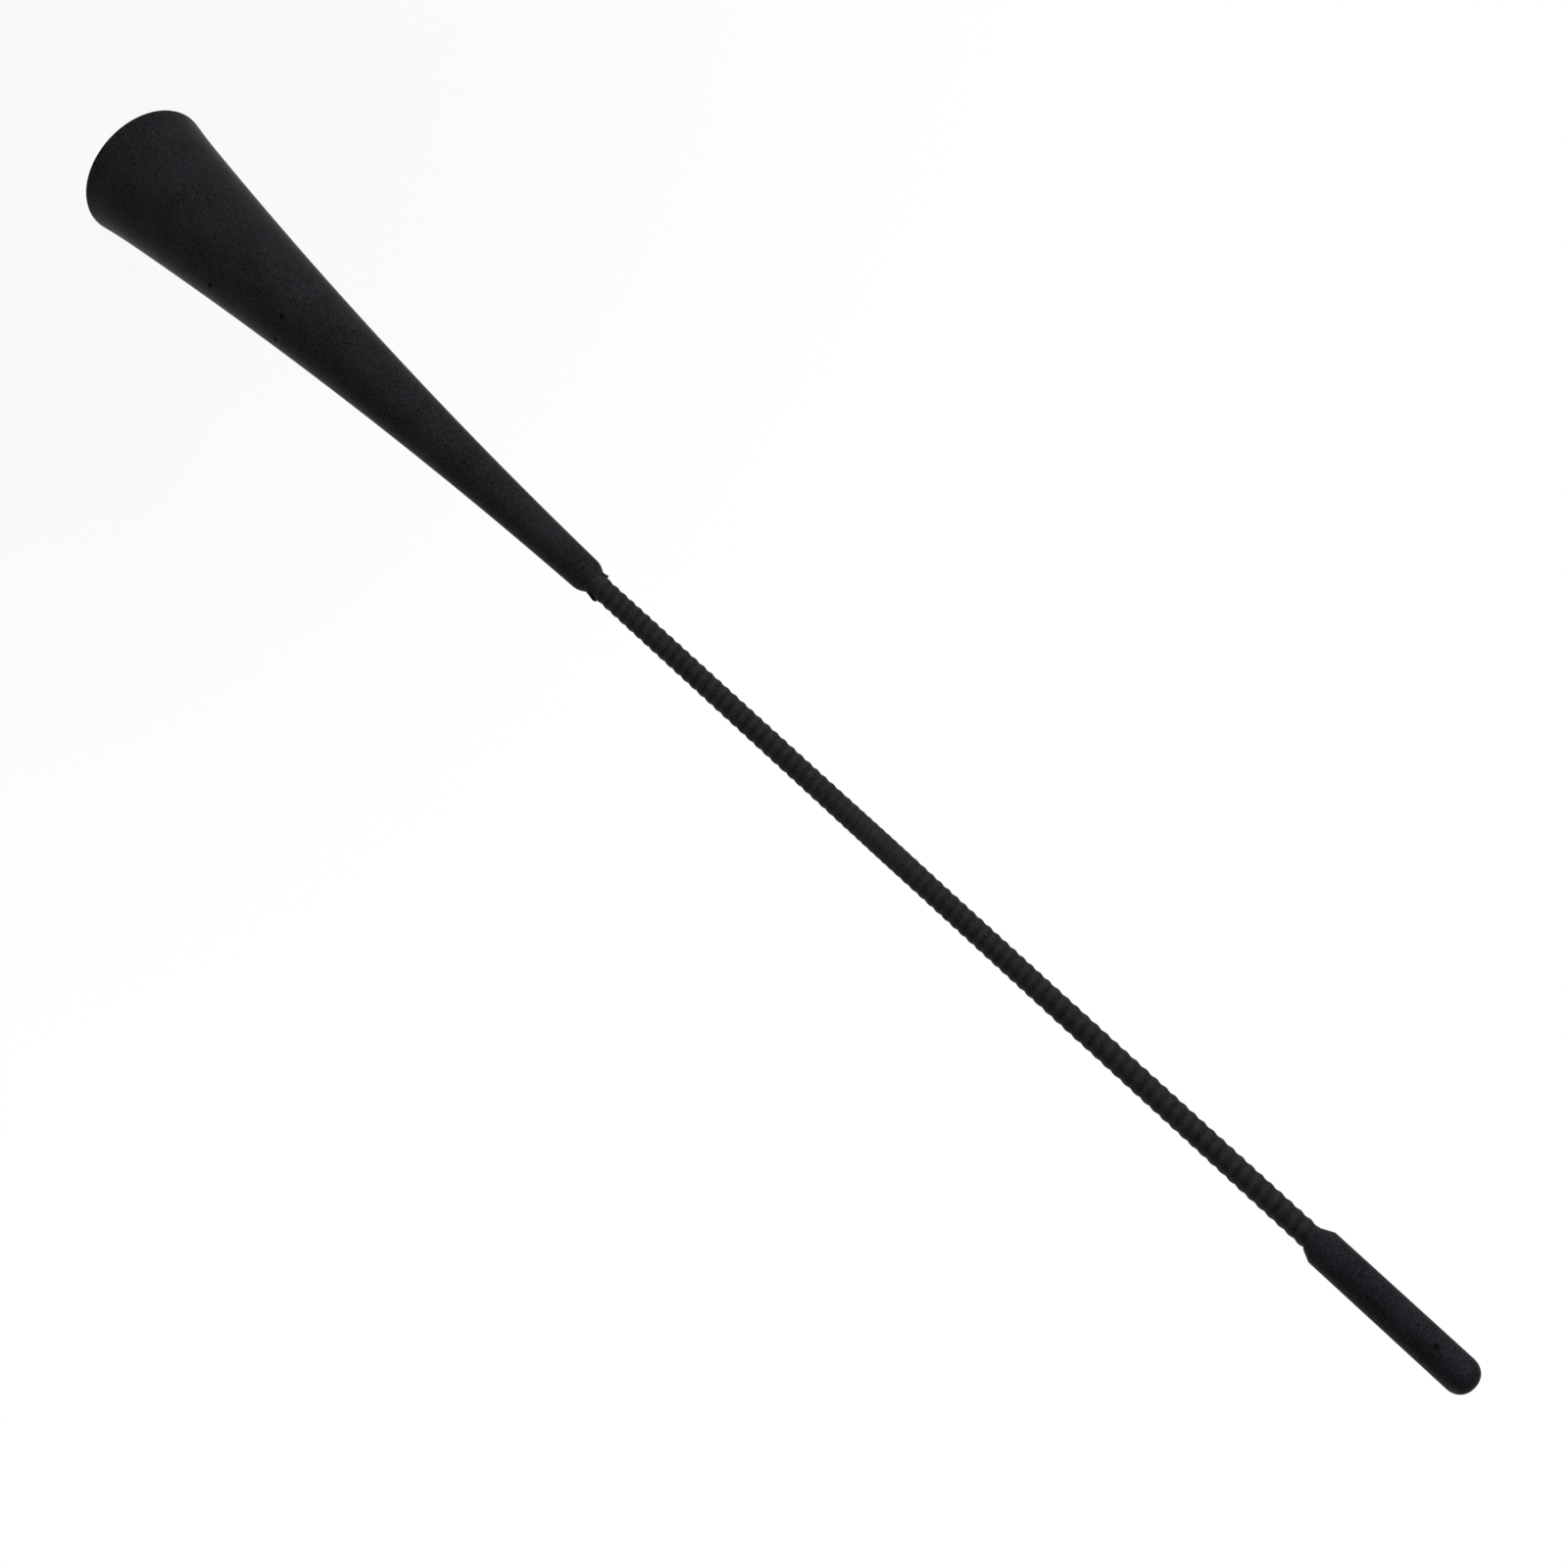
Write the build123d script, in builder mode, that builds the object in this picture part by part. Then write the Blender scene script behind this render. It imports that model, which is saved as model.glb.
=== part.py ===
from build123d import *
import os

os.makedirs("parts", exist_ok=True)

# A car mast aerial that screws on to a stud on the roof. It stands here on its own seat:
# +Z runs up the mast, and the origin is the middle of the round seat. Sizes are in millimetres.

# Room between two pieces that fit into each other
fit = 0.05

# Flared base moulding, from the seat up
rim_radius = 15.35
rim_chamfer = 0.3
flare_height = 10.0
flare_radius = 13.9
skirt_length = 146.6
skirt_hollow = 1.7
shoulder_radius = 3.55
shoulder_length = 1.3
bevel_radius = 3.28
bevel_length = 1.5

# Thin lip of moulding flash where the mast leaves the base
lip_length = 3.0
lip_root_wall = 0.15
lip_mouth_wall = 0.42

# Hollow that keeps the base's walls even, round the boss that holds the ferrule
skirt_wall = 2.6
boss_wall = 2.0
pocket_depth = 22.0

# Threaded ferrule, set a little above the seat so that the rim closes first
seat_recess = 1.5
ferrule_radius = 4.25
ferrule_length = 24.0
head_radius = 5.2
head_length = 14.0
thread_bore_radius = 2.5
thread_depth = 14.0
thread_mouth = 0.5
socket_depth = 18.0

# Mast: a stiff core, the aerial winding on it and the sleeve shrunk over both
core_radius = 1.5
winding_thickness = 0.36
sleeve_wall = 0.2
rib_height = 0.2
close_rib_height = 0.1
sleeve_seat = 12.0

# Stretches of the winding, which the ribs on the sleeve follow turn by turn
lower_length = 59.3
lower_turns = 24
narrowing_length = 16.3
narrowing_turns = 7
close_length = 14.7
close_turns = 8
middle_length = 39.0
middle_turns = 17
loose_length = 28.6
loose_turns = 11
upper_length = 41.4
upper_turns = 17
first_rib_angle = 242
flat_count = 11
steps_per_turn = 3

# Tip cap, pushed over the end of the mast
cap_radius = 3.5
cap_length = 38.3
cap_shoulder = 2.1
cap_mouth_wall = 0.15
cap_end_wall = 11.0
cap_seat = 10.0

# Radii of the mast, from the core outwards
winding_bore = core_radius + fit
winding_radius = winding_bore + winding_thickness
sleeve_bore = winding_radius + fit
crest_radius = sleeve_bore + sleeve_wall + rib_height
mast_bore = crest_radius + fit

# Heights above the seat
shoulder_z = flare_height + skirt_length
bevel_z = shoulder_z + shoulder_length
lip_z = bevel_z + bevel_length
mast_z = lip_z + lip_length
sleeve_z = lip_z - sleeve_seat
close_z = mast_z + lower_length + narrowing_length
cap_z = close_z + close_length + middle_length + loose_length + upper_length
sleeve_top_z = cap_z + cap_seat
tip_z = cap_z + cap_length
core_top_z = tip_z - cap_end_wall
head_z = seat_recess + ferrule_length
ferrule_top_z = head_z + head_length
core_z = ferrule_top_z - socket_depth


def rod(radius, bottom, top):
    """Adds a round rod on the mast's axis."""
    with Locations((0, 0, bottom)):
        Cylinder(radius, top - bottom, align=(Align.CENTER, Align.CENTER, Align.MIN))


def bore(radius, bottom, top):
    """Cuts a round hole on the mast's axis."""
    with Locations((0, 0, bottom)):
        Cylinder(radius, top - bottom, align=(Align.CENTER, Align.CENTER, Align.MIN), mode=Mode.SUBTRACT)


# Base cone: one soft moulding with a trumpet flare and a hollow side up to the shoulder
with BuildPart() as base_cone:
    with BuildSketch(Plane.XZ):
        with BuildLine():
            skirt = SagittaArc((flare_radius, flare_height), (shoulder_radius, shoulder_z), skirt_hollow)
            flare = TangentArc(skirt @ 0, (rim_radius, 0), tangent=-(skirt % 0))
            Polyline(
                skirt @ 1,
                (bevel_radius, bevel_z),
                (mast_bore + lip_root_wall, lip_z),
                (mast_bore + lip_mouth_wall, mast_z),
                (0, mast_z),
                (0, 0),
                flare @ 1,
            )
        make_face()
    revolve(axis=Axis.Z)
    chamfer(base_cone.edges().filter_by(GeomType.CIRCLE).group_by(Axis.Z)[0], rim_chamfer)

    # The hollow's wall follows the flare, then goes on at the slope that the skirt starts with
    boss_radius = ferrule_radius + fit + boss_wall
    foot_slope = (flare_radius - shoulder_radius + 4 * skirt_hollow) / skirt_length
    pocket_top_radius = flare_radius - skirt_wall - foot_slope * (pocket_depth - flare_height)
    with BuildSketch(Plane.XZ):
        with BuildLine():
            pocket_wall = ThreePointArc(
                (rim_radius - skirt_wall, 0),
                (flare_radius - skirt_wall, flare_height),
                (pocket_top_radius, pocket_depth),
            )
            Polyline(pocket_wall @ 1, (boss_radius, pocket_depth), (boss_radius, 0), pocket_wall @ 0)
        make_face()
    revolve(axis=Axis.Z, mode=Mode.SUBTRACT)

    # The boss ends level with the ferrule, and the way up through the cone fits what it was moulded round
    bore(boss_radius, 0, seat_recess)
    bore(ferrule_radius + fit, seat_recess, head_z)
    bore(head_radius + fit, head_z - fit, ferrule_top_z + fit)
    bore(sleeve_bore, ferrule_top_z, sleeve_z)
    bore(mast_bore, sleeve_z, mast_z)
base_cone.part.label = "base_cone"
export_step(base_cone.part, "parts/base_cone.step")

# Ferrule: turned brass with a head that the moulding grips, tapped below and bored above for the core
with BuildPart() as threaded_ferrule:
    rod(ferrule_radius, seat_recess, head_z)
    rod(head_radius, head_z, ferrule_top_z)
    bore(thread_bore_radius, seat_recess, seat_recess + thread_depth)
    bore(core_radius + fit, core_z, ferrule_top_z)
    mouth_edges = threaded_ferrule.edges().filter_by(GeomType.CIRCLE).group_by(Axis.Z)[0]
    chamfer(mouth_edges.sort_by(SortBy.RADIUS)[0], thread_mouth)
threaded_ferrule.part.label = "threaded_ferrule"
export_step(threaded_ferrule.part, "parts/threaded_ferrule.step")

# Core: a glass-fibre rod from the ferrule's socket into the tip cap
with BuildPart() as core_rod:
    rod(core_radius, core_z, core_top_z - fit)
core_rod.part.label = "core_rod"
export_step(core_rod.part, "parts/core_rod.step")

# Winding: the enamelled wire's turns as one thin layer on the core, from the ferrule to inside the cap
with BuildPart() as antenna_winding:
    rod(winding_radius, ferrule_top_z + fit, core_top_z - fit)
    bore(winding_bore, ferrule_top_z, core_top_z)
antenna_winding.part.label = "antenna_winding"
export_step(antenna_winding.part, "parts/antenna_winding.step")

# Sleeve: shrunk over the winding, so a right-hand rib stands up wherever a turn lies beneath it.
# A section that sits off the axis and goes round with the turns gives the ribs their wave, and a few
# flats and steps to each turn are enough for ribs this low.
with BuildPart() as ribbed_sleeve:
    rod(crest_radius, sleeve_z + fit, mast_z)
    stretch_z = mast_z
    for length, turns, height in (
        (lower_length, lower_turns, rib_height),
        (narrowing_length, narrowing_turns, rib_height),
        (close_length, close_turns, close_rib_height),
        (middle_length, middle_turns, rib_height),
        (loose_length, loose_turns, rib_height),
        (upper_length, upper_turns, rib_height),
    ):
        throw = height / 2
        rise = length / (turns * steps_per_turn)
        with BuildLine() as winding_line:
            Polyline(
                *(
                    Vector(throw, 0, stretch_z + step * rise).rotate(
                        Axis.Z, first_rib_angle + 360 * step / steps_per_turn
                    )
                    for step in range(turns * steps_per_turn + 1)
                )
            )
        with BuildSketch(Plane.XY.offset(stretch_z)):
            with PolarLocations(throw, 1, start_angle=first_rib_angle):
                RegularPolygon(crest_radius - throw, flat_count)
        sweep(path=winding_line.line, normal=(0, 0, 1))
        stretch_z = stretch_z + length
    rod(crest_radius, cap_z, sleeve_top_z - fit)
    bore(sleeve_bore, sleeve_z, sleeve_top_z)
ribbed_sleeve.part.label = "ribbed_sleeve"
export_step(ribbed_sleeve.part, "parts/ribbed_sleeve.step")

# Tip cap: a soft moulding with a tapered mouth and a round end, stepped inside to seat on the sleeve
with BuildPart() as tip_cap:
    with BuildSketch(Plane.XZ):
        with BuildLine():
            cap_mouth = Line((mast_bore + cap_mouth_wall, cap_z), (cap_radius, cap_z + cap_shoulder))
            cap_side = Line(cap_mouth @ 1, (cap_radius, tip_z - cap_radius))
            cap_end = TangentArc(cap_side @ 1, (0, tip_z), tangent=cap_side % 1)
            Polyline(cap_end @ 1, (0, cap_z), cap_mouth @ 0)
        make_face()
    revolve(axis=Axis.Z)
    bore(mast_bore, cap_z, sleeve_top_z)
    bore(sleeve_bore, sleeve_top_z, core_top_z)
tip_cap.part.label = "tip_cap"
export_step(tip_cap.part, "parts/tip_cap.step")
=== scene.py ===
import math

import bmesh
import bpy
from mathutils import Matrix, Vector


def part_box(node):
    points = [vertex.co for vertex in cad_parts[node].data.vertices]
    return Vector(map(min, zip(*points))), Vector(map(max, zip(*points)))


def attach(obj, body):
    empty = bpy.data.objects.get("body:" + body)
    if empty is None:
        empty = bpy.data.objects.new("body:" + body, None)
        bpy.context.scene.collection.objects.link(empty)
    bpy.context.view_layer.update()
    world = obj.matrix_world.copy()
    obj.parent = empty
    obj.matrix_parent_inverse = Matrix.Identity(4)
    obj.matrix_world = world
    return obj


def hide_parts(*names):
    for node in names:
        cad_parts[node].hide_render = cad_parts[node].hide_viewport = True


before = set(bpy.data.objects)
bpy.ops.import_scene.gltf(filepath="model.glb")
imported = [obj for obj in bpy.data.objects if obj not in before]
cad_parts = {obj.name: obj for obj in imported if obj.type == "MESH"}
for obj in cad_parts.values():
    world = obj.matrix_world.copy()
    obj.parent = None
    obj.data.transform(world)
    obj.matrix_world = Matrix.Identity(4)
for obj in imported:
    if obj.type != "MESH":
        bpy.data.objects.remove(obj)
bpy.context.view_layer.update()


# Threaded ferrule: the brass piece in the foot of the base that screws on to the roof's stud.
# It is turned from bar with a wider head for the moulding to grip, drilled, and tapped from below.
mm = 0.001
fit = 0.05 * mm
ferrule_foot_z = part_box("threaded_ferrule")[0].z
ferrule_top_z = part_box("threaded_ferrule")[1].z
ferrule_radius = 4.25 * mm
ferrule_head_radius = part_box("threaded_ferrule")[1].x
ferrule_head_length = 14.0 * mm
ferrule_sides = 64
turned_edge = 0.2 * mm
thread_bore_radius = 2.5 * mm
thread_mouth = 0.5 * mm
thread_depth = 14.0 * mm
thread_pitch = 1.0 * mm
thread_height = 0.5 * mm
thread_flat = 0.12
thread_rows_per_turn = 12
wall_slack = 0.01 * mm
core_socket_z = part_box("core_rod")[0].z
core_socket_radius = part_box("core_rod")[1].x + fit
bright_brass = (0.72, 0.53, 0.25, 1.0)
dull_brass = (0.42, 0.27, 0.1, 1.0)
tarnish_scale = 350.0
tool_mark_scale = 9000.0
tool_mark_depth = 0.02 * mm


def eased(corners, steps=4):
    """An outline of (radius, height, rounding) corners, with each rounding drawn as a short curve."""
    outline = []
    for index, (radius, height, rounding) in enumerate(corners):
        corner = Vector((radius, height))
        if rounding == 0:
            outline.append(tuple(corner))
            continue
        back = Vector(corners[index - 1][:2]) - corner
        ahead = Vector(corners[(index + 1) % len(corners)][:2]) - corner
        reach = rounding / math.tan(back.angle(ahead) / 2)
        start = corner + back.normalized() * reach
        end = corner + ahead.normalized() * reach
        for step in range(steps + 1):
            share = step / steps
            outline.append(tuple(start.lerp(corner, share).lerp(corner.lerp(end, share), share)))
    return outline


def put_in(name, data):
    """A new object in the scene, at the origin."""
    thing = bpy.data.objects.new(name, data)
    bpy.context.scene.collection.objects.link(thing)
    return thing


def turned(name, outline_at, sides):
    """The closed skin that an outline of (radius, height) points leaves as it goes round the mast."""
    skin = bmesh.new()
    poles = {}
    columns = []
    for side in range(sides):
        angle = math.tau * side / sides
        column = []
        for radius, height in outline_at(angle):
            if radius > 0:
                point = skin.verts.new((radius * math.cos(angle), radius * math.sin(angle), height))
            else:
                point = poles.get(height) or skin.verts.new((0, 0, height))
                poles[height] = point
            column.append(point)
        columns.append(column)
    for column, beside in zip(columns, columns[1:] + columns[:1]):
        for row in range(len(column)):
            corners = dict.fromkeys((column[row - 1], beside[row - 1], beside[row], column[row]))
            if len(corners) > 2:
                skin.faces.new(corners)
    bmesh.ops.recalc_face_normals(skin, faces=skin.faces)
    mesh = bpy.data.meshes.new(name)
    skin.to_mesh(mesh)
    skin.free()
    return put_in(name, mesh)


class Value:
    """A socket of a node tree: sums with it add Math nodes, and add() puts in any other node."""

    def __init__(self, tree, socket=None):
        self.tree = tree
        self.socket = socket

    def add(self, kind, settings=None, sockets=None, out=0):
        node = self.tree.nodes.new(kind)
        for name, setting in (settings or {}).items():
            setattr(node, name, setting)
        for name, given in (sockets or {}).items():
            if isinstance(given, Value):
                given.into(node, name)
            else:
                node.inputs[name].default_value = given
        return Value(self.tree, node.outputs[out] if node.outputs else None)

    def out(self, name):
        return Value(self.tree, self.socket.node.outputs[name])

    def into(self, node, name):
        self.tree.links.new(self.socket, node.inputs[name])

    def math(self, operation, *terms):
        return self.add("ShaderNodeMath", {"operation": operation}, dict(enumerate((self, *terms))))

    def __add__(self, other):
        return self.math("ADD", other)

    def __sub__(self, other):
        return self.math("SUBTRACT", other)

    def __mul__(self, other):
        return self.math("MULTIPLY", other)

    def __truediv__(self, other):
        return self.math("DIVIDE", other)

    __radd__ = __add__
    __rmul__ = __mul__

    def __rsub__(self, other):
        return self.add("ShaderNodeMath", {"operation": "SUBTRACT"}, {0: other, 1: self})

    def __rtruediv__(self, other):
        return self.add("ShaderNodeMath", {"operation": "DIVIDE"}, {0: other, 1: self})

    def share(self, low, high):
        """0 below one limit, 1 above the other, and a smooth step between them."""
        limits = {"Value": self, "From Min": low, "From Max": high}
        return self.add("ShaderNodeMapRange", {"interpolation_type": "SMOOTHSTEP"}, limits)

    def ramp(self, low, high):
        """As share, but straight between the limits."""
        return self.add("ShaderNodeMapRange", None, {"Value": self, "From Min": low, "From Max": high})

    def blend(self, low, high):
        """One colour where this is 0, and another where it is 1."""
        return self.add("ShaderNodeMix", {"data_type": "RGBA"}, {0: self, 6: low, 7: high}, out=2)

    def axis(self, name):
        """How far a position lies along X, Y or Z."""
        return self.add("ShaderNodeSeparateXYZ", None, {0: self}, out=name)

    def off_axis(self):
        """How far a position lies from the mast's middle line."""
        x, y = self.axis("X"), self.axis("Y")
        return (x * x + y * y).math("SQRT")

    def drawn_out(self, times):
        """A position on which a pattern comes out this many times longer up the mast."""
        return self.add("ShaderNodeMapping", None, {"Vector": self, "Scale": (1.0, 1.0, 1.0 / times)})

    def noise(self, scale, detail=2.0, roughness=0.5):
        """Noise over a position, in specks per metre."""
        specks = {"Vector": self, "Scale": scale, "Detail": detail, "Roughness": roughness}
        return self.add("ShaderNodeTexNoise", None, specks)

    def bump(self, strength, depth):
        """A normal from a height between 0 and 1 that stands for a depth in metres."""
        relief = {"Strength": strength, "Distance": depth, "Height": self}
        return self.add("ShaderNodeBump", None, relief)


def finish(name, **constants):
    """A new material; gives it, its shader with these constants set, and the place on the piece."""
    material = bpy.data.materials.new(name)
    material.use_nodes = True
    shader = material.node_tree.nodes["Principled BSDF"]
    for socket, constant in constants.items():
        shader.inputs[socket.replace("_", " ")].default_value = constant
    place = Value(material.node_tree).add("ShaderNodeTexCoord", out="Object")
    return material, shader, place


def settle(piece):
    """Makes what a piece's modifiers give its own plain mesh, and takes them off."""
    shaped = piece.evaluated_get(bpy.context.evaluated_depsgraph_get())
    mesh = bpy.data.meshes.new_from_object(shaped)
    mesh.name = piece.name
    piece.modifiers.clear()
    piece.data = mesh


def shape_by_nodes(piece, material, sizes, build):
    """Makes a piece's plain mesh with a Geometry Nodes tree that has these sizes as named inputs."""
    tree = bpy.data.node_groups.new(piece.name, "GeometryNodeTree")
    tree.interface.new_socket("Geometry", in_out="OUTPUT", socket_type="NodeSocketGeometry")
    tree.interface.new_socket("Geometry", in_out="INPUT", socket_type="NodeSocketGeometry")
    tree.interface.new_socket("Finish", in_out="INPUT", socket_type="NodeSocketMaterial")
    for name, size in sizes.items():
        kind = "NodeSocketInt" if isinstance(size, int) else "NodeSocketFloat"
        tree.interface.new_socket(name, in_out="INPUT", socket_type=kind)
    given = Value(tree).add("NodeGroupInput")
    shape = build(given)
    shape = shape.add("GeometryNodeRealizeInstances", None, {"Geometry": shape})
    dressed = {"Geometry": shape, "Material": given.out("Finish")}
    shape = shape.add("GeometryNodeSetMaterial", None, dressed)
    shape.add("NodeGroupOutput", None, {"Geometry": shape})
    nodes = piece.modifiers.new("nodes", "NODES")
    nodes.node_group = tree
    inputs = {"Finish": material, **sizes}
    for item in tree.interface.items_tree:
        if item.in_out == "INPUT" and item.name in inputs:
            nodes[item.identifier] = inputs[item.name]
    settle(piece)


def smooth(piece, sharpest):
    """Shades a piece smooth, apart from edges that turn by more than an angle in degrees."""
    piece.data.shade_smooth()
    piece.data.set_sharp_from_angle(angle=math.radians(sharpest))


def seat_piece(piece, material, slot, *nodes):
    """Puts a finished piece in the place of its CAD nodes, on the aerial's one body."""
    piece.data.materials.clear()
    piece.data.materials.append(material)
    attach(piece, "root")
    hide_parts(*nodes)


brass, shader, place = finish("turned brass", Metallic=1.0)
height = place.axis("Z")
tool_marks = {"W": height, "Scale": tool_mark_scale}
rings = height.add("ShaderNodeTexNoise", {"noise_dimensions": "1D"}, tool_marks)
tarnish = place.noise(tarnish_scale, detail=4.0).share(0.42, 0.7)
tarnish.blend(bright_brass, dull_brass).into(shader, "Base Color")
(rings * 0.2 + tarnish * 0.18 + 0.18).into(shader, "Roughness")
rings.bump(0.25, tool_mark_depth).into(shader, "Normal")

thread_start_z = ferrule_foot_z + thread_mouth
thread_end_z = ferrule_foot_z + thread_depth
thread_rows = round((thread_end_z - thread_start_z) / thread_pitch * thread_rows_per_turn)
ferrule_head_z = ferrule_top_z - ferrule_head_length
ferrule_outline = eased(
    (
        (thread_bore_radius + thread_mouth, ferrule_foot_z, 0),
        (ferrule_radius, ferrule_foot_z, turned_edge),
        (ferrule_radius, ferrule_head_z, 0),
        (ferrule_head_radius, ferrule_head_z, turned_edge),
        (ferrule_head_radius, ferrule_top_z, turned_edge),
        (core_socket_radius, ferrule_top_z, 0),
        (core_socket_radius, core_socket_z, 0),
        (0, core_socket_z, 0),
        (0, thread_end_z, 0),
    )
)
ferrule_outline += [
    (thread_bore_radius, thread_end_z + (thread_start_z - thread_end_z) * row / thread_rows)
    for row in range(thread_rows + 1)
]
ferrule = turned("ferrule", lambda angle: ferrule_outline, ferrule_sides)


def cut_thread(given):
    """Moves the bore's wall outwards in a right-hand V that runs out before the end of the hole."""
    place = given.add("GeometryNodeInputPosition")
    x, y, z = place.axis("X"), place.axis("Y"), place.axis("Z")
    radius = place.off_axis()
    turn = (y.math("ARCTAN2", x) / math.tau - z / given.out("Pitch")).math("FRACT")
    groove = (1 - (turn * 2 - 1).math("ABSOLUTE")).ramp(thread_flat, 1 - thread_flat)
    on_wall = (radius - given.out("Bore Radius")).math("ABSOLUTE").math("LESS_THAN", wall_slack)
    run_out = 1 - z.ramp(given.out("Run Out"), given.out("End"))
    wider = groove * on_wall * run_out * given.out("Height") / radius + 1
    moved = wider.add("ShaderNodeCombineXYZ", None, {"X": x * wider, "Y": y * wider, "Z": z})
    bored = given.out("Geometry")
    return bored.add("GeometryNodeSetPosition", None, {"Geometry": bored, "Position": moved})


shape_by_nodes(
    ferrule,
    brass,
    {
        "Pitch": thread_pitch,
        "Height": thread_height,
        "Bore Radius": thread_bore_radius,
        "Run Out": thread_end_z - 2 * thread_pitch,
        "End": thread_end_z - thread_pitch,
    },
    cut_thread,
)
smooth(ferrule, sharpest=25)
seat_piece(ferrule, brass, "turned_brass", "threaded_ferrule")


# Core rod: drawn glass fibre, cut to length and glued into the ferrule's socket.
# It carries the mast, bends with it and springs back. Nothing of it shows, so the CAD solid stays.
pale_fibre = (0.78, 0.73, 0.58, 1.0)
dull_fibre = (0.62, 0.57, 0.43, 1.0)
strand_scale = 6000.0
strand_stretch = 100.0
strand_depth = 0.02 * mm

glass_fibre, shader, place = finish("drawn glass fibre", Roughness=0.35)
strands = place.drawn_out(strand_stretch).noise(strand_scale, detail=3.0).share(0.35, 0.65)
strands.blend(pale_fibre, dull_fibre).into(shader, "Base Color")
strands.bump(0.2, strand_depth).into(shader, "Normal")
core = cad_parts["core_rod"]
core.data.materials.clear()
core.data.materials.append(glass_fibre)


# Antenna winding: one enamelled copper wire, wound round the core in a right-hand helix.
# It starts at the ferrule, lies closer over a short stretch half way up, and ends under the cap.
winding_foot_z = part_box("antenna_winding")[0].z
winding_top_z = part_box("antenna_winding")[1].z
winding_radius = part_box("antenna_winding")[1].x
wire_radius = 0.18 * mm
wire_sides = 8
wire_points = 3400
ribs_from_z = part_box("base_cone")[1].z
ribs_to_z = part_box("tip_cap")[0].z
hidden_pitch = 2.5 * mm
first_rib_angle = math.radians(242)
stretches = {
    "Lower": (59.3 * mm, 24.0),
    "Narrowing": (16.3 * mm, 7.0),
    "Close": (14.7 * mm, 8.0),
    "Middle": (39.0 * mm, 17.0),
    "Loose": (28.6 * mm, 11.0),
    "Upper": (41.4 * mm, 17.0),
}
winding_sizes = {"Ribs From": ribs_from_z, "Hidden Pitch": hidden_pitch, "First Angle": first_rib_angle}
for stretch, (length, turns) in stretches.items():
    winding_sizes[stretch + " Length"] = length
    winding_sizes[stretch + " Turns"] = turns
bright_enamel = (0.66, 0.28, 0.11, 1.0)
dark_enamel = (0.46, 0.16, 0.06, 1.0)
varnish_scale = 900.0


def turns_at(height, given):
    """How many turns the wire has made at a height, counted from where the ribs come into sight."""
    start = given.out("Ribs From")
    turns = (height - start).math("MINIMUM", 0.0) / given.out("Hidden Pitch")
    for stretch in stretches:
        end = start + given.out(stretch + " Length")
        turns = turns + height.ramp(start, end) * given.out(stretch + " Turns")
        start = end
    return turns + (height - start).math("MAXIMUM", 0.0) / given.out("Hidden Pitch")


def wrapped(shape, angle, radius, height):
    """Puts a shape's points at an angle round the mast, a distance from its middle and a height."""
    across = {"X": angle.math("COSINE") * radius, "Y": angle.math("SINE") * radius}
    place = shape.add("ShaderNodeCombineXYZ", None, {**across, "Z": height})
    return shape.add("GeometryNodeSetPosition", None, {"Geometry": shape, "Position": place})


def wind_wire(given):
    """A line up the mast, bent into the helix and given the wire's thickness."""
    bottom = given.add("ShaderNodeCombineXYZ", None, {"Z": given.out("From")})
    top = given.add("ShaderNodeCombineXYZ", None, {"Z": given.out("To")})
    line = given.add("GeometryNodeCurvePrimitiveLine", None, {"Start": bottom, "End": top})
    line = line.add("GeometryNodeResampleCurve", None, {"Curve": line, "Count": given.out("Points")})
    height = given.add("GeometryNodeInputPosition").axis("Z")
    angle = turns_at(height, given) * math.tau + given.out("First Angle")
    line = wrapped(line, angle, given.out("Radius"), height)
    round_wire = {"Resolution": given.out("Sides"), "Radius": given.out("Wire Radius")}
    section = line.add("GeometryNodeCurvePrimitiveCircle", None, round_wire)
    wire = {"Curve": line, "Profile Curve": section, "Fill Caps": True}
    return line.add("GeometryNodeCurveToMesh", None, wire)


enamelled_copper, shader, place = finish("enamelled copper", Metallic=1.0, Coat_Weight=0.6)
varnish = place.noise(varnish_scale, detail=3.0)
varnish.blend(bright_enamel, dark_enamel).into(shader, "Base Color")
(varnish * 0.2 + 0.2).into(shader, "Roughness")

winding = put_in("winding_wire", bpy.data.meshes.new("winding_wire"))
shape_by_nodes(
    winding,
    enamelled_copper,
    {
        **winding_sizes,
        "From": winding_foot_z + wire_radius,
        "To": winding_top_z - wire_radius,
        "Radius": winding_radius - wire_radius,
        "Wire Radius": wire_radius,
        "Points": wire_points,
        "Sides": wire_sides,
    },
    wind_wire,
)
smooth(winding, sharpest=60)
seat_piece(winding, enamelled_copper, "winding_wire", "antenna_winding")


# Ribbed sleeve: black tube shrunk over the winding by heat, so that it stands up in a low round rib
# over every turn of the wire. Its ends go under the base moulding and under the cap.
sleeve_foot_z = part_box("ribbed_sleeve")[0].z
sleeve_top_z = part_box("ribbed_sleeve")[1].z
crest_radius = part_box("ribbed_sleeve")[1].x
rib_height = 0.2 * mm
rib_fade = 1.5 * mm
lowest_rib_share = 0.35
lowest_rib_place = 0.8
sleeve_wall = 0.2 * mm
sleeve_sides = 36
sleeve_rows = 1150
seam_gap = 0.001 * mm
dark_sleeve = (0.003, 0.0028, 0.0031, 1.0)
pale_sleeve = (0.0295, 0.0286, 0.0302, 1.0)
wear_scale = 220.0
sleeve_grain_scale = 3000.0
draw_scale = 2400.0
draw_stretch = 50.0
sleeve_grain_depth = 0.03 * mm


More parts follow.
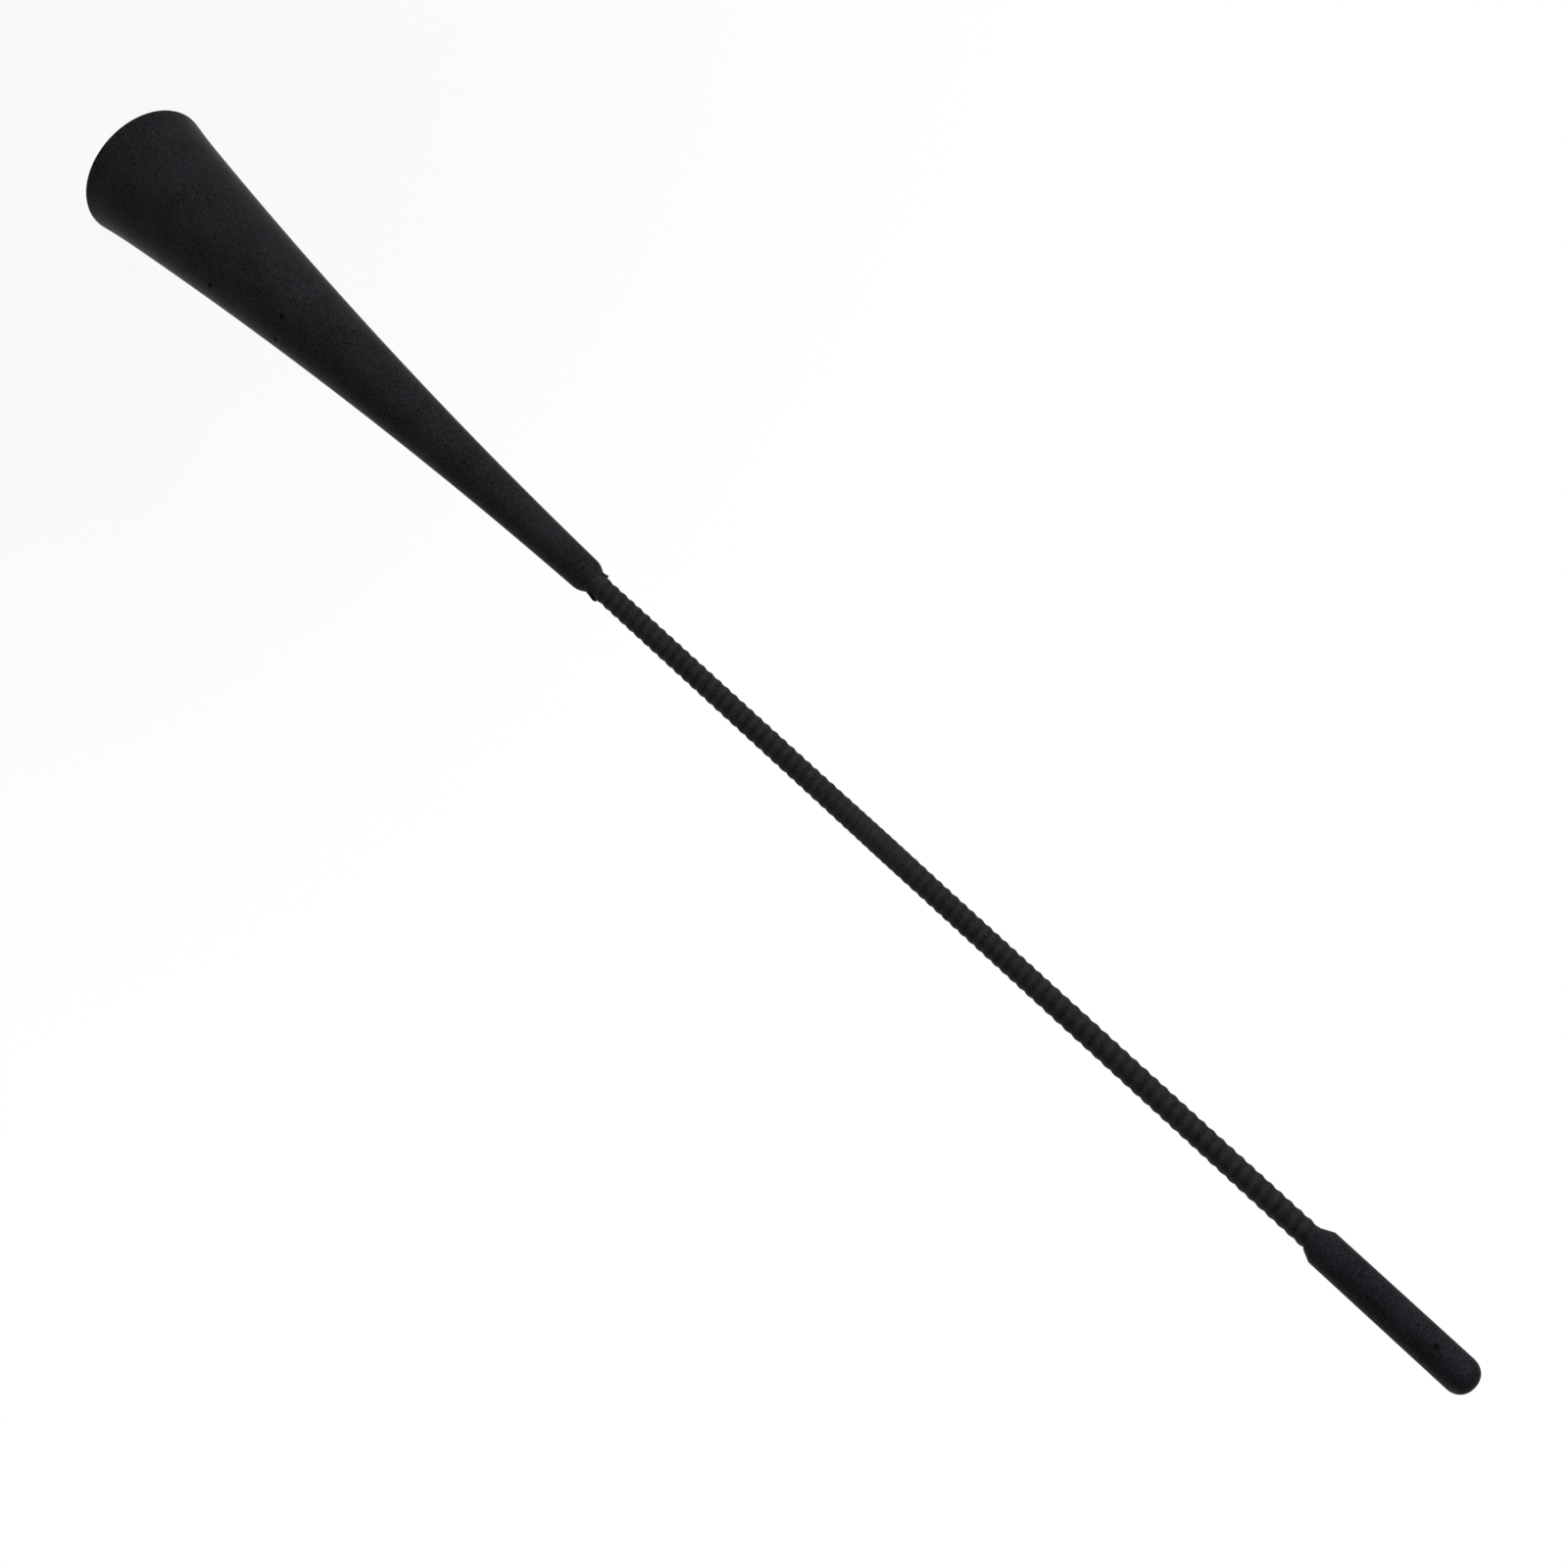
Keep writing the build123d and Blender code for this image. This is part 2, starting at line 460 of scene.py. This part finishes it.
def shrink_sleeve(given):
    """A sheet rolled into a tube whose radius follows the turns beneath it."""
    counts = {"Vertices X": given.out("Columns"), "Vertices Y": given.out("Rows")}
    sheet = given.add("GeometryNodeMeshGrid", None, {"Size X": 1.0, "Size Y": 1.0, **counts})
    place = given.add("GeometryNodeInputPosition")
    angle = (place.axis("X") + 0.5) * math.tau
    bottom, top = given.out("From"), given.out("To")
    height = (place.axis("Y") + 0.5) * (top - bottom) + bottom
    phase = angle - given.out("First Angle") - turns_at(height, given) * math.tau
    wave = phase.math("COSINE") * 0.5 + 0.5
    close_from = given.out("Ribs From") + given.out("Lower Length")
    close_length = given.out("Close Length")
    lowest = close_from + given.out("Narrowing Length") + close_length * given.out("Lowest Place")
    close_to = lowest + close_length
    close = height.share(close_from, lowest) - height.share(lowest, close_to)
    fade = given.out("Fade")
    shown = height.share(given.out("Ribs From") - fade, given.out("Ribs From"))
    shown = shown * (1 - height.share(given.out("Ribs To"), given.out("Ribs To") + fade))
    rib = given.out("Rib Height") * shown * (1 - close * (1 - given.out("Lowest Share")))
    radius = given.out("Crest Radius") - rib * (1 - wave)
    tube = wrapped(sheet, angle, radius, height)
    return tube.add("GeometryNodeMergeByDistance", None, {"Geometry": tube, "Distance": seam_gap})


sleeve_black, shader, place = finish("shrunk sleeve", Specular_IOR_Level=0.014)
# Painted shade: the colour darkens from each rib's crest down into the trough between turns, standing in
# for the shade that falls there; worn, grain and draw are the tube's own tone.
rib_trough_shade = place.off_axis().ramp(crest_radius - rib_height, crest_radius)
worn = place.noise(wear_scale, detail=4.0).share(0.3, 0.7)
grain = place.noise(sleeve_grain_scale, detail=3.0, roughness=0.8).share(0.36, 0.64)
draw = place.drawn_out(draw_stretch).noise(draw_scale)
shade = rib_trough_shade * 0.32 + worn * 0.06 + grain * 0.5 + draw * 0.12
shade.blend(dark_sleeve, pale_sleeve).into(shader, "Base Color")
(worn * 0.1 + grain * 0.2 + 0.32).into(shader, "Roughness")
(grain * 0.7 + draw * 0.3).bump(0.5, sleeve_grain_depth).into(shader, "Normal")

sleeve = put_in("ribbed_tube", bpy.data.meshes.new("ribbed_tube"))
shape_by_nodes(
    sleeve,
    sleeve_black,
    {
        **winding_sizes,
        "From": sleeve_foot_z,
        "To": sleeve_top_z,
        "Ribs To": ribs_to_z,
        "Crest Radius": crest_radius,
        "Rib Height": rib_height,
        "Lowest Share": lowest_rib_share,
        "Lowest Place": lowest_rib_place,
        "Fade": rib_fade,
        "Columns": sleeve_sides + 1,
        "Rows": sleeve_rows,
    },
    shrink_sleeve,
)
wall = sleeve.modifiers.new("wall", "SOLIDIFY")
wall.thickness = sleeve_wall
wall.offset = -1
settle(sleeve)
smooth(sleeve, sharpest=60)
seat_piece(sleeve, sleeve_black, "sleeve_black", "ribbed_sleeve")


# Base cone: one soft black moulding round the ferrule and the foot of the mast, with a trumpet flare
# at the seat and a rounded shoulder at the top. A thin, torn lip of flash stands up round the mast.
rim_radius = 15.35 * mm
rim_round = 0.5 * mm
flare_height = 10.0 * mm
flare_radius = 13.9 * mm
flare_rows = 10
skirt_length = 146.6 * mm
skirt_hollow = 1.7 * mm
skirt_rows = 70
shoulder_radius = 3.55 * mm
shoulder_length = 2.8 * mm
shoulder_edge_radius = 3.44 * mm
shoulder_edge_rise = 0.75 * mm
shoulder_edge_round = 0.6 * mm
bevel_radius = 3.2 * mm
bevel_rise = 1.45 * mm
neck_radius = 2.87 * mm
neck_rise = 2.15 * mm
lip_root_radius = 2.56 * mm
lip_edge_wall = 0.05 * mm
lip_bulge = 0.3
lip_bulge_place = 0.5
lip_crown = 1.03
lip_lowest = 0.45 * mm
lip_tear = 0.75 * mm
tear_waves = ((5, 0.6, 0.22), (13, 2.1, 0.16), (29, 0.0, 0.12))
burr_height = 1.8 * mm
burr_reach = 0.55 * mm
burr_steady = 0.55
burr_angle = math.radians(12)
burr_spread = math.radians(58)
hair_length = 1.3 * mm
hair_reach = 0.45 * mm
hair_angle = math.radians(192)
hair_spread = math.radians(5)
mast_bore = crest_radius + fit
sleeve_bore = winding_radius + fit
skirt_wall = 2.6 * mm
boss_wall = 2.0 * mm
boss_radius = ferrule_radius + fit + boss_wall
pocket_depth = 22.0 * mm
pocket_top_radius = 9.9 * mm
moulded_edge = 0.6 * mm
cone_sides = 180
flare_slope = (flare_radius - shoulder_radius + 4 * skirt_hollow) / skirt_length
rim_spread = rim_radius - flare_radius - flare_slope * flare_height
shoulder_z = flare_height + skirt_length
lip_z = shoulder_z + shoulder_length
dark_moulding = (0.0045, 0.0043, 0.0054, 1.0)
pale_moulding = (0.0246, 0.0236, 0.0275, 1.0)
# Painted shade: the near-black that stands for the shade inside each pit.
pit_shade_black = (0.0005, 0.0005, 0.0005, 1.0)
pit_floor = 0.1 * mm
pit_reach = 0.9 * mm
seam_top = 0.04 * mm
seam_reach = 0.14 * mm
cloud_scale = 110.0
moulded_grain_scale = 2600.0
moulded_relief = 0.12 * mm

foot_side = []
for row in range(flare_rows):
    drop = flare_height * (1 - row / flare_rows)
    spread = flare_slope * drop + rim_spread * (drop / flare_height) ** 2
    foot_side.append((flare_radius + spread, flare_height - drop, 0 if row else rim_round))
skirt_side = []
for row in range(skirt_rows + 1):
    share = row / skirt_rows
    straight = flare_radius + (shoulder_radius - flare_radius) * share
    hollow = skirt_hollow * 4 * share * (1 - share)
    skirt_side.append((straight - hollow, flare_height + skirt_length * share, 0))
cone_below = eased(
    (
        (rim_radius - skirt_wall, 0, moulded_edge / 2),
        *foot_side,
        *skirt_side,
        (shoulder_edge_radius, shoulder_z + shoulder_edge_rise, shoulder_edge_round),
        (bevel_radius, shoulder_z + bevel_rise, 0),
        (neck_radius, shoulder_z + neck_rise, 0),
        (lip_root_radius, lip_z, 0),
    )
)
cone_inside = eased(
    (
        (mast_bore, sleeve_foot_z - fit, 0),
        (sleeve_bore, sleeve_foot_z - fit, 0),
        (sleeve_bore, ferrule_top_z + fit, 0),
        (ferrule_head_radius + fit, ferrule_top_z + fit, 0),
        (ferrule_head_radius + fit, ferrule_head_z - fit, 0),
        (ferrule_radius + fit, ferrule_head_z - fit, 0),
        (ferrule_radius + fit, ferrule_foot_z, 0),
        (boss_radius, ferrule_foot_z, moulded_edge / 2),
        (boss_radius, pocket_depth, moulded_edge),
        (pocket_top_radius, pocket_depth, moulded_edge),
        (flare_radius - skirt_wall, flare_height, 0),
    )
)


def nearness(angle, middle, spread):
    """1 at an angle round the mast, falling away to 0 on both sides of it."""
    return math.exp(-((math.remainder(angle - middle, math.tau) / spread) ** 2))


def cone_outline(angle):
    """The moulding's section at an angle, which differs only in the torn lip at its top."""
    tear = sum((share * math.sin(count * angle + start) for count, start, share in tear_waves), 0.5)
    burr = nearness(angle, burr_angle, burr_spread)
    hair = nearness(angle, hair_angle, hair_spread)
    burr_edge = burr_reach * burr * (burr_steady + (1 - burr_steady) * tear)
    reach = lip_edge_wall + burr_edge + hair_reach * hair
    height = lip_lowest + lip_tear * tear + burr_height * burr + hair_length * hair
    lip = [
        (lip_root_radius + reach * lip_bulge, lip_z + height * lip_bulge_place),
        (mast_bore + reach, lip_z + height),
        (mast_bore, lip_z + height * lip_crown),
    ]
    return cone_below + lip + cone_inside


def moulded_surface(name, pits, dark, pale):
    """Black moulding: a fine even grain, faint clouds, a parting line up each side and a few pits with
    painted shade in them.
    """
    material, shader, place = finish(name, Specular_IOR_Level=0.008)
    cloud = place.noise(cloud_scale, detail=3.0).share(0.3, 0.7)
    grain = place.noise(moulded_grain_scale, detail=3.0, roughness=0.8).share(0.36, 0.64)
    seam = 1 - place.axis("Y").math("ABSOLUTE").share(seam_top, seam_reach)
    whole = 1 - seam * 0.15
    # Painted shade: each pit's colour falls nearly to black, standing in for the shade inside the small
    # dent that the bump gives it.
    for radius, angle, height in pits:
        pit = (radius * math.cos(angle), radius * math.sin(angle), height)
        ends = {0: place, 1: pit}
        away = place.add("ShaderNodeVectorMath", {"operation": "DISTANCE"}, ends, out="Value")
        whole = whole * away.ramp(pit_floor, pit_reach)
    shade = (cloud * 0.2 + grain * 0.8).blend(dark, pale)
    whole.blend(pit_shade_black, shade).into(shader, "Base Color")
    (1 - whole * (0.76 - cloud * 0.06 - grain * 0.14)).into(shader, "Roughness")
    (grain * 0.2 + whole * 0.6 + seam * 0.4).bump(0.5, moulded_relief).into(shader, "Normal")
    return material


cone_pits = (
    (10.6 * mm, math.radians(-35.6), 40.7 * mm),
    (8.64 * mm, math.radians(-69.2), 62.3 * mm),
    (8.67 * mm, math.radians(-28.9), 62.0 * mm),
)
moulded_black = moulded_surface("moulded black", cone_pits, dark_moulding, pale_moulding)
cone = turned("base_moulding", cone_outline, cone_sides)
smooth(cone, sharpest=35)
seat_piece(cone, moulded_black, "moulded_black", "base_cone")


# Tip cap: a soft black moulding pushed over the end of the mast, stepped inside to seat on the sleeve.
# Its mouth tapers down to the mast and its end is round.
cap_foot_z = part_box("tip_cap")[0].z
tip_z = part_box("tip_cap")[1].z
cap_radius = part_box("tip_cap")[1].x
cap_shoulder = 2.1 * mm
cap_shoulder_round = 0.8 * mm
cap_mouth_wall = 0.15 * mm
cap_end_wall = 11.0 * mm
cap_seat = 10.0 * mm
cap_sides = 72
dome_rows = 14
dome_fullness = 2.25
dark_cap = (0.0044, 0.0036, 0.0049, 1.0)
pale_cap = (0.0238, 0.0206, 0.0256, 1.0)

dome = []
for row in range(dome_rows):
    rise = math.sin(row / dome_rows * math.pi / 2)
    radius = cap_radius * (1 - rise ** dome_fullness) ** (1 / dome_fullness)
    dome.append((radius, tip_z - cap_radius * (1 - rise), 0))
cap_outline = eased(
    (
        (mast_bore, cap_foot_z, 0),
        (mast_bore + cap_mouth_wall, cap_foot_z, 0),
        (cap_radius, cap_foot_z + cap_shoulder, cap_shoulder_round),
        *dome,
        (0, tip_z, 0),
        (0, tip_z - cap_end_wall, 0),
        (sleeve_bore, tip_z - cap_end_wall, 0),
        (sleeve_bore, cap_foot_z + cap_seat, 0),
        (mast_bore, cap_foot_z + cap_seat, 0),
    )
)
cap_pits = ((cap_radius, math.radians(-100), 391.5 * mm),)
cap_black = moulded_surface("cap black", cap_pits, dark_cap, pale_cap)
cap = turned("tip_moulding", lambda angle: cap_outline, cap_sides)
smooth(cap, sharpest=35)
seat_piece(cap, cap_black, "moulded_black", "tip_cap")


# Studio: a pale round floor that goes on past the picture's edges, a white room, a large soft lamp at the
# front left of the standing aerial and a weaker one at its right. The floor is clear from below and open
# under the seat, to show the foot. The camera looks down at the mast and is rolled over on its side.
floor_radius = 6.0
floor_opening = 14.0 * mm
floor_drop = 0.05 * mm
floor_sides = 96
floor_grey = (0.6, 0.6, 0.6, 1.0)
white = (1.0, 1.0, 1.0, 1.0)
shadow_near = 0.03
shadow_far = 0.3
shadow_share = 0.08
room_light = 0.12
lamp_aim = Vector((0.0, 0.0, 0.2))
camera_aim = Vector((0.004, 0.0, 0.2226))
camera_distance = 0.7477
camera_rise = math.radians(29.533)
camera_roll = math.radians(132.616)

corners = []
faces = []
for side in range(floor_sides):
    angle = math.tau * side / floor_sides
    for radius in (floor_opening, floor_radius):
        corners.append((radius * math.cos(angle), radius * math.sin(angle), -floor_drop))
    after = (side + 1) % floor_sides
    faces.append((2 * side, 2 * side + 1, 2 * after + 1, 2 * after))
mesh = bpy.data.meshes.new("floor")
mesh.from_pydata(corners, [], faces)
floor = put_in("floor", mesh)


def in_sight(tree):
    """1 for what the camera sees straight on, mirrored or through glass, and 0 for other light."""
    ray = Value(tree).add("ShaderNodeLightPath")
    mirrored = ray.out("Is Glossy Ray").math("MAXIMUM", ray.out("Is Transmission Ray"))
    return mirrored.math("MAXIMUM", ray.out("Is Camera Ray"))


floor_white, shader, place = finish(
    "floor white", Base_Color=floor_grey, Roughness=0.9, Specular_IOR_Level=0.0
)
tree = floor_white.node_tree
far = place.add("ShaderNodeVectorMath", {"operation": "LENGTH"}, {0: place}, out="Value")
far = far.share(shadow_near, shadow_far)
plain = in_sight(tree) * (far * shadow_share + (1 - shadow_share))
matt = Value(tree, shader.outputs["BSDF"])
glow = matt.add("ShaderNodeEmission", None, {"Color": white, "Strength": 1.0})
above = matt.add("ShaderNodeMixShader", None, {0: plain, 1: matt, 2: glow})
under = matt.add("ShaderNodeNewGeometry", out="Backfacing")
clear = matt.add("ShaderNodeBsdfTransparent")
surface = matt.add("ShaderNodeMixShader", None, {0: under, 1: above, 2: clear})
surface.into(tree.nodes["Material Output"], "Surface")
floor.data.materials.append(floor_white)

world = bpy.data.worlds.new("room")
bpy.context.scene.world = world
world.use_nodes = True
sky = world.node_tree.nodes["Background"]
sky.inputs["Color"].default_value = white
(in_sight(world.node_tree) * (1 - room_light) + room_light).into(sky, "Strength")


def soft_lamp(name, place, size, power):
    """A square lamp that faces the middle of the aerial."""
    lamp = put_in(name, bpy.data.lights.new(name, "AREA"))
    lamp.data.size = size
    lamp.data.energy = power
    lamp.location = place
    lamp.rotation_euler = (lamp_aim - Vector(place)).to_track_quat("-Z", "Y").to_euler()


soft_lamp("key lamp", place=(-1.15, -0.95, 0.58), size=1.1, power=27.0)
soft_lamp("side lamp", place=(1.25, 0.5, 0.55), size=1.0, power=15.5)

camera = put_in("camera", bpy.data.cameras.new("camera"))
camera.data.sensor_width = 36.0
camera.data.lens = 90.0
heading = Matrix.Rotation(math.pi / 2 - camera_rise, 4, "X") @ Matrix.Rotation(camera_roll, 4, "Z")
stand_off = Vector((0, -math.cos(camera_rise), math.sin(camera_rise))) * camera_distance
camera.matrix_world = Matrix.Translation(camera_aim + stand_off) @ heading
bpy.context.scene.camera = camera
bpy.context.scene.view_settings.view_transform = "Standard"
